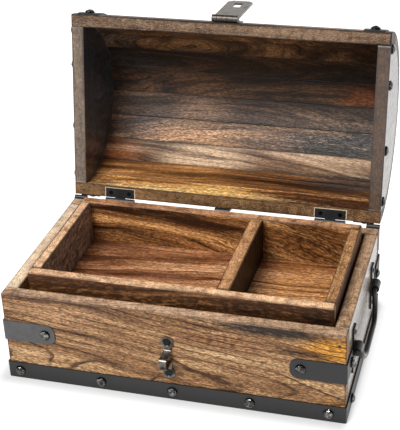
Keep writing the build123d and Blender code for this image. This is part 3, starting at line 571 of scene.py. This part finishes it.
# each stave's tones, heart, ring run, flecks and stains; some stains are painted sheen and some are painted
# fill light, as marked
STAVES = [
    ((tone(52, 28, 13), tone(130, 84, 45), tone(206, 146, 88)), (0.02, 0.074, 0.10), 0.10, SOFT_FLECK, [
        ((-0.04, 0.069, 0.11), WIDE, GOLD, 0.15),
        ((0.11, 0.060, 0.124), (0.07, 0.016, 0.018), ASH, 1.7)]),
    ((tone(58, 40, 28), tone(142, 110, 84), tone(206, 174, 142)), (-0.16, 0.062, 0.10), 0.14, SOFT_FLECK, [
        ((-0.13, 0.056, 0.13), smear(0.05), tone(150, 82, 36), 1.0),
        # painted sheen
        ((-0.03, 0.056, 0.13), smear(0.06), PAINTED_SHEEN, 1.5),
        ((0.11, 0.060, 0.124), smear(0.07, 0.012), ASH, 1.2)]),
    ((tone(46, 31, 21), tone(116, 84, 60), tone(184, 142, 104)), (0.03, 0.060, 0.138), 0.22, CRISP_FLECK, [
        # partly the wood's paler colour, partly painted sheen
        ((-0.045, 0.04, 0.145), smear(0.06), tone(206, 156, 108), 0.8),
        ((0.10, 0.036, 0.147), smear(0.10, 0.026), tone(44, 37, 32), 1.4),
        ((-0.14, 0.04, 0.145), SHORT, UMBER, 0.6)]),
    ((tone(32, 23, 18), tone(86, 66, 53), tone(140, 112, 90)), (-0.02, 0.03, 0.147), 0.22, CRISP_FLECK, [
        # partly the wood's paler colour, partly painted sheen
        ((-0.04, 0.02, 0.155), SHORT, tone(152, 120, 96), 0.8),
        ((0.11, 0.02, 0.155), WIDE, tone(52, 42, 35), 0.75),
        ((-0.13, 0.02, 0.155), smear(0.05), UMBER, 0.7)]),
    ((tone(22, 15, 11), tone(62, 44, 31), tone(112, 80, 54)), (0.06, 0.005, 0.17), 0.2, CRISP_FLECK, [
        # partly the wood's paler colour, partly painted sheen
        ((-0.045, -0.014, 0.156), SHORT, tone(108, 78, 54), 0.9),
        ((0.115, 0.0, 0.157), SHORT, RUST, 0.35),
        ((-0.12, 0.0, 0.157), SHORT, SOOT, 0.6),
        ((0.04, 0.0, 0.157), SHORT, SOOT, 0.5)]),
    ((tone(14, 10, 8), tone(38, 27, 21), tone(84, 60, 42)), (-0.10, -0.03, 0.15), 0.16, CRISP_FLECK, [
        ((0.09, -0.025, 0.15), WIDE, SOOT, 0.8),
        # painted fill light
        ((-0.11, -0.025, 0.15), SHORT, tone(72, 70, 70), 0.6)]),
    ((tone(32, 23, 17), tone(94, 70, 50), tone(160, 120, 82)), (-0.048, -0.0514, 0.135), 0.36, CRISP_FLECK, [
        ((0.10, -0.055, 0.13), WIDE, UMBER, 0.6),
        # painted fill light
        ((-0.12, -0.055, 0.13), SHORT, PAINTED_FILL_LIGHT, 0.8)]),
    ((tone(36, 24, 16), tone(110, 80, 54), tone(180, 132, 84)), (-0.048, -0.062, 0.125), 0.30, CRISP_FLECK, [
        ((0.10, -0.067, 0.11), WIDE, UMBER, 0.6),
        # painted fill light
        ((-0.12, -0.067, 0.11), SHORT, PAINTED_FILL_LIGHT, 0.8)]),
]
for index, (tones, heart, run, fleck, stains) in enumerate(STAVES):
    paint_wood(
        "lid_stave_%d" % (index + 1), tones, None, lid=True, heart=heart, ring_gap=0.0058, ring_run=run,
        ring_share=0.7, fleck=fleck, streak=0.75, burn=0.5, shift=11.0 + 1.37 * index, stains=stains,
        gloss=0.42, shine=0.3)

paint_wood(
    "lid_front_rail", (tone(46, 30, 20), tone(90, 62, 40), tone(136, 98, 66)),
    ((-HALF_LENGTH, FRONT_FACE, LID_RIM), (HALF_LENGTH, -VAULT_RADIUS, RAIL_TOP)),
    lid=True, heart=(0.02, -0.1, 0.07), streak=0.35, rim=(tone(54, 40, 30), tone(146, 118, 94)), burn=0.9,
    shift=23.0)

hinge_cuts = []
for node in ("left_hinge_lid_leaf", "right_hinge_lid_leaf"):
    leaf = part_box(node)
    hinge_cuts.append((
        (leaf[0][0] - CUT_MARGIN, VAULT_RADIUS + CUT_INSET, LID_RIM - CUT_DEPTH),
        (leaf[1][0] + CUT_MARGIN, -FRONT_FACE, LID_RIM + CUT_DEPTH)))
paint_wood(
    "lid_back_rail", (tone(96, 58, 30), tone(222, 158, 92), tone(255, 214, 148)),
    ((-HALF_LENGTH, VAULT_RADIUS, LID_RIM), (HALF_LENGTH, -FRONT_FACE, RAIL_TOP)),
    lid=True, heart=(0.0, 0.1, 0.07), streak=0.35, rim=(tone(46, 31, 20), tone(146, 110, 74)), shift=25.0,
    chips=hinge_cuts, stains=[
        ((-0.01, 0.072, 0.09), smear(0.045), tone(255, 206, 126), 1.2),
        ((0.10, 0.072, 0.09), smear(0.095), tone(84, 50, 30), 1.6),
        ((-0.125, 0.072, 0.09), smear(0.03), tone(110, 68, 36), 0.8)])

LID_END_TONES = (tone(60, 46, 37), tone(108, 86, 68), tone(144, 118, 93))
# the bluish grey below is painted shade, for the lid ends' inner faces that lie in shade
LID_END_PAINTED_SHADE = tone(66, 73, 82)
for node, low, high, side, shift, rim in (
        ("lid_left_end", -HALF_LENGTH, -END_INSIDE, -1, -102.0, (tone(60, 48, 39), tone(132, 110, 91))),
        ("lid_right_end", END_INSIDE, HALF_LENGTH, 1, 167.0, (tone(38, 25, 16), tone(94, 68, 47)))):
    # the inner faces of the lid's ends get the painted shade
    inner = side * (END_INSIDE - SKIN_DEPTH)
    paint_wood(
        node, LID_END_TONES, ((low, -VAULT_RADIUS, LID_RIM), (high, VAULT_RADIUS, LID_TOP)), grain="y",
        lid=True, heart=(0.0, 0.2, 0.12), streak=0.45, rim=rim, shift=shift, glue=True,
        stains=[((inner, 0, 0.12), (0.004, 0.5, 0.5), LID_END_PAINTED_SHADE, 3.0)], gloss=0.34, shine=0.5, varnish=0.5)

# Tray boards
RAIL_TONES = (tone(84, 48, 26), tone(146, 96, 56), tone(196, 140, 88))
RAIL_RIM = (tone(156, 108, 78), tone(250, 208, 164))
tray_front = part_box("tray_front")
tray_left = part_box("tray_left_end")
tray_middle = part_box("tray_divider")
tray_face = tray_front[0][1]
paint_wood(
    "tray_front", RAIL_TONES, tray_front, heart=(0.1, -0.02, 0.05), fleck=0.35, streak=0.45, rim=RAIL_RIM,
    burn=0.8, shift=31.0, stains=[
        ((0, tray_face, 0.085), (0.4, 0.004, 0.1), tone(68, 42, 22), 1.2),
        ((0.06, tray_face, 0.084), (0.03, 0.004, 0.006), tone(34, 20, 12), 0.9),
        ((0.12, tray_face, 0.078), (0.03, 0.004, 0.02), tone(36, 22, 13), 0.9)])
paint_wood(
    "tray_back", (tone(62, 35, 17), tone(164, 112, 66), tone(228, 172, 110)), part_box("tray_back"),
    heart=(-0.16, 0.055, -0.03), ring_gap=0.0055, ring_run=0.34, ring_share=0.8, streak=0.55,
    rim=(tone(128, 82, 54), tone(218, 166, 122)), burn=0.8, shift=33.0,
    stains=[((0.09, 0.055, 0.08), (0.06, 0.03, 0.05), tone(112, 68, 32), 1.0)])
# painted shade: the inner face of the tray's left end is tinted grey, the colour it shows in shade
paint_wood(
    "tray_left_end", RAIL_TONES, tray_left, grain="y", heart=(0.0, 0.2, 0.05), rim=RAIL_RIM, burn=0.8,
    shift=35.0, stains=[((tray_left[1][0], 0, 0.07), (0.004, 0.3, 0.3), tone(166, 146, 132), 2.5)])
paint_wood(
    "tray_right_end", RAIL_TONES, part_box("tray_right_end"), grain="y", heart=(0.0, 0.2, 0.05),
    rim=(tone(132, 88, 54), tone(222, 174, 122)), burn=0.8, shift=36.0)
# painted shade: the divider's right face is tinted near black, for the shade it lies in
paint_wood(
    "tray_divider", RAIL_TONES, tray_middle, grain="y", heart=(0.0, -0.2, 0.05),
    rim=(tone(122, 80, 52), tone(220, 168, 120)), burn=0.8, shift=37.0,
    stains=[((tray_middle[1][0], 0, 0.07), (0.005, 0.3, 0.3), tone(30, 19, 12), 2.5)])
paint_wood(
    "tray_floor", (tone(88, 50, 30), tone(168, 112, 74), tone(224, 170, 126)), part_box("tray_floor"),
    heart=(0.16, -0.12, 0.05), ring_gap=0.008, ring_run=0.3, ring_share=0.75, streak=0.4, burn=0.3,
    shift=39.0, stains=[
        ((0.085, 0, 0.057), (0.055, 0.08, 0.02), tone(206, 140, 66), 0.55),
        ((-0.03, -0.02, 0.057), (0.05, 0.04, 0.02), tone(220, 160, 120), 0.45),
        ((-0.09, 0.04, 0.057), (0.05, 0.05, 0.02), tone(92, 54, 36), 0.6)])

# Iron and steel
strap_iron = black_iron("strap_iron", tone(22, 21, 21), 0.46, 0.04, 0.02)
# painted light: the front left strap gets a lighter copy of the strap iron, for the light it catches
left_strap_painted_light_iron = black_iron("left_strap_painted_light_iron", tone(74, 73, 73), 0.46, 0.04, 0.02)
hinge_iron = black_iron("hinge_iron", tone(34, 34, 35), 0.42, 0.2, 0.12, 0.4)
handle_iron = black_iron("handle_iron", tone(22, 22, 23), 0.26, 0.12, 0.05)
nail_iron = nails_with_painted_glints()
hasp_pin = joints["hasp_hinge"]["pos_m"]
# the hasp's steel is darker in a band round the knuckles of its hinge
hasp_steel = antique_steel(
    "hasp_steel", tone(140, 133, 125), tone(92, 85, 78), 0.40, 1.25,
    darkened_patches=[((0.0, hasp_pin[1], hasp_pin[2]), KNUCKLE_DARKENING, 0.8)])
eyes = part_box("staple_screws")
eye_x = (eyes[0][0] + eyes[1][0]) / 2
eye_heights = (eyes[0][2] + SCREW_RADIUS, eyes[1][2] - SCREW_RADIUS)
staple_steel = antique_steel(
    "staple_steel", tone(100, 96, 91), tone(42, 39, 36), 0.26,
    darkened_patches=[((eye_x, FRONT_FACE - EYE_DEPTH, height), EYE_HOLLOW, 0.9) for height in eye_heights])
screw_steel = antique_steel("screw_steel", tone(38, 36, 34), tone(16, 15, 15), 0.34)
IRONWORK = [
    (strap_iron, ("bottom_band", "strap_front_right", "strap_back_left", "strap_back_right",
                  "lid_left_band", "lid_right_band")),
    (left_strap_painted_light_iron, ("strap_front_left",)),
    (filled_nails(), ("board_nails",)),
    (hinge_iron, ("left_hinge_base_leaf", "right_hinge_base_leaf", "left_hinge_lid_leaf",
                  "right_hinge_lid_leaf", "hinge_pins", "lid_stop", "corner_irons")),
    (handle_iron, ("left_handle_front_mount", "left_handle_back_mount", "right_handle_front_mount",
                   "right_handle_back_mount", "handle_mount_nails", "left_bail", "right_bail")),
    (hasp_steel, ("hasp_leaf", "hasp_pin", "hasp_flap")),
    (staple_steel, ("hasp_staple",)),
    (screw_steel, ("staple_screws", "hinge_base_screws", "hinge_lid_screws", "lid_stop_screws")),
]
for metal, metal_nodes in IRONWORK:
    for node in metal_nodes:
        paint(node, metal)


# Hammered nail heads
def islands(shape):
    """The separate solids of a mesh, each as a list of its vertices."""
    found = []
    seen = set()
    for first in shape.verts:
        if first in seen:
            continue
        seen.add(first)
        island = [first]
        for vert in island:
            for edge in vert.link_edges:
                other = edge.other_vert(vert)
                if other not in seen:
                    seen.add(other)
                    island.append(other)
        found.append(island)
    return found


def nail_stands(node):
    """The seat and outward direction of every nail in a node, read from its solids."""
    shape = bmesh.new()
    shape.from_mesh(nodes[node].data)
    bmesh.ops.remove_doubles(shape, verts=shape.verts, dist=MERGE_GAP)
    stands = []
    for island in islands(shape):
        points = [vert.co.copy() for vert in island]
        centre = sum(points, Vector()) / len(points)
        foot = max(points, key=lambda point: (point - centre).length)
        way = (centre - foot).normalized()
        end = [point for point in points if (point - foot).dot(way) < NAIL_FOOT]
        outward = (centre - sum(end, Vector()) / len(end)).normalized()
        rise = max((point - centre).dot(outward) for point in points)
        stands.append((centre + outward * (rise - NAIL_HEIGHT), outward))
    shape.free()
    return stands


def hammered_head(seat, outward, chance):
    """A nail's domed head, hammered into uneven facets, standing on its seat."""
    head = bmesh.new()
    bmesh.ops.create_icosphere(head, subdivisions=2, radius=1.0)
    for vert in head.verts:
        vert.co *= chance.uniform(0.91, 1.0)
    everything = head.verts[:] + head.edges[:] + head.faces[:]
    cut = bmesh.ops.bisect_plane(
        head, geom=everything, plane_co=(0, 0, 0), plane_no=(0, 0, 1), clear_inner=True)
    rim = [piece for piece in cut["geom_cut"] if isinstance(piece, bmesh.types.BMEdge)]
    bmesh.ops.contextual_create(head, geom=rim)
    bmesh.ops.scale(head, verts=head.verts, vec=(NAIL_RADIUS, NAIL_RADIUS, NAIL_HEIGHT))
    bmesh.ops.dissolve_limit(head, angle_limit=math.radians(9), verts=head.verts, edges=head.edges)
    bmesh.ops.bevel(
        head, geom=head.edges, offset=NAIL_EDGE, segments=1, profile=0.5, affect="EDGES", material=-1)
    head.normal_update()
    # the outward facets get painted glints of random strength, partly for worn iron; the facets round the rim
    # stay black, painted shade
    wear_and_glint = head.faces.layers.float.new("wear_and_glint")
    for face in head.faces:
        face[wear_and_glint] = chance.choice((0.2, 0.45, 0.7, 1.0)) if face.normal.z > 0.55 else 0.0
    bmesh.ops.rotate(head, verts=head.verts, matrix=outward.to_track_quat("Z", "Y").to_matrix())
    bmesh.ops.translate(head, verts=head.verts, vec=seat)
    return head


def hammered_nails(node, body):
    """The heads of a node's dome nails, as one piece that stands for the node."""
    chance = random.Random(node)
    shape = bmesh.new()
    mesh = bpy.data.meshes.new("hammered_" + node)
    for seat, outward in nail_stands(node):
        head = hammered_head(seat, outward, chance)
        head.to_mesh(mesh)
        head.free()
        shape.from_mesh(mesh)
    bmesh.ops.recalc_face_normals(shape, faces=shape.faces)
    shape.to_mesh(mesh)
    shape.free()
    mesh.materials.append(nail_iron)
    piece = bpy.data.objects.new("hammered_" + node, mesh)
    bpy.context.scene.collection.objects.link(piece)
    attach(piece, body)
    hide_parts(node)


for node in ("bottom_band_nails", "strap_nails"):
    hammered_nails(node, "base")
for node in ("lid_band_nails", "lid_end_nails", "hasp_leaf_nails"):
    hammered_nails(node, "lid")


# Floor, light and view
def floor_finish():
    """Chalk-white floor: lit as plain chalk, seen as white, with a painted soft shadow along the chest's foot
    over its real one, thinned by painted light at the chest's right.
    """
    material = bpy.data.materials.new("pale_floor")
    material.use_nodes = True
    tree = material.node_tree
    tree.nodes.clear()
    chalk = add(tree, "ShaderNodeBsdfDiffuse", {"Color": (0.62, 0.62, 0.62, 1)})
    white = add(tree, "ShaderNodeEmission", {"Color": (1, 1, 1, 1), "Strength": 1.35})
    # painted shadow: the nearer the chest's foot, the less white is mixed in, so the lit chalk's grey shows
    # there as well as the real shade
    side = axes(tree, add(tree, "ShaderNodeTexCoord").outputs["Object"])
    squares = []
    for index in range(2):
        past = calc(tree, "SUBTRACT", calc(tree, "ABSOLUTE", side[index]), FOOT[index])
        squares.append(calc(tree, "POWER", calc(tree, "MAXIMUM", past, 0.0), 2.0))
    gap = calc(tree, "SQRT", calc(tree, "ADD", *squares))
    # painted light: at the chest's right, where the lamp's shadow falls, more white stays mixed in, which
    # thins that shadow
    least = spread(tree, side[0], FOOT[0] - PAINTED_SHADOW_EASE, FOOT[0] + PAINTED_SHADOW_EASE, 0.10, 0.62)
    share = calc(tree, "MULTIPLY", seen_share(tree), spread(tree, gap, 0.0, PAINTED_SHADOW_WIDTH, least, 0.97))
    both = add(tree, "ShaderNodeMixShader", {0: share, 1: chalk.outputs[0], 2: white.outputs[0]})
    output = add(tree, "ShaderNodeOutputMaterial")
    tree.links.new(both.outputs[0], output.inputs[0])
    return material


def make_floor():
    """A wide pale floor that stays white, with a soft shadow along the chest's foot that is partly painted.
    """
    mesh = bpy.data.meshes.new("floor")
    shape = bmesh.new()
    bmesh.ops.create_grid(shape, x_segments=1, y_segments=1, size=FLOOR_REACH)
    bmesh.ops.translate(shape, verts=shape.verts, vec=(0, 0, -FLOOR_DROP))
    shape.to_mesh(mesh)
    shape.free()
    mesh.materials.append(floor_finish())
    floor = bpy.data.objects.new("floor", mesh)
    bpy.context.scene.collection.objects.link(floor)


def make_world():
    """White surroundings, dimmer overhead, which give plain light and look white to the camera."""
    world = bpy.data.worlds.new("studio")
    bpy.context.scene.world = world
    world.use_nodes = True
    tree = world.node_tree
    tree.nodes.clear()
    rise = axes(tree, add(tree, "ShaderNodeTexCoord").outputs["Generated"])[2]
    backdrop = spread(tree, rise, 0.25, 0.6, 1.0, 0.3)
    extra = calc(tree, "MULTIPLY", seen_share(tree), calc(tree, "SUBTRACT", backdrop, WORLD_LIGHT))
    strength = calc(tree, "ADD", extra, WORLD_LIGHT)
    light = add(tree, "ShaderNodeBackground", {"Color": (1, 1, 1, 1), "Strength": strength})
    output = add(tree, "ShaderNodeOutputWorld")
    tree.links.new(light.outputs[0], output.inputs[0])


def make_lamp():
    """A large square soft light, high at the front left, aimed at the chest."""
    data = bpy.data.lights.new("key_light", "AREA")
    data.shape = "SQUARE"
    data.size = LAMP_SIZE
    data.energy = LAMP_POWER
    lamp = bpy.data.objects.new("key_light", data)
    bpy.context.scene.collection.objects.link(lamp)
    lamp.location = LAMP_PLACE
    lamp.rotation_euler = (Vector(LAMP_TARGET) - Vector(LAMP_PLACE)).to_track_quat("-Z", "Y").to_euler()


def make_camera():
    """The photograph's view: from the front, a little to the right and above."""
    data = bpy.data.cameras.new("photo_view")
    data.lens = CAMERA_LENS
    data.sensor_width = SENSOR_WIDTH
    data.clip_start = CLIP_START
    camera = bpy.data.objects.new("photo_view", data)
    bpy.context.scene.collection.objects.link(camera)
    camera.location = CAMERA_PLACE
    camera.rotation_euler = CAMERA_TURN
    bpy.context.scene.camera = camera


make_floor()
make_world()
make_lamp()
make_camera()
bpy.context.scene.view_settings.view_transform = "Standard"
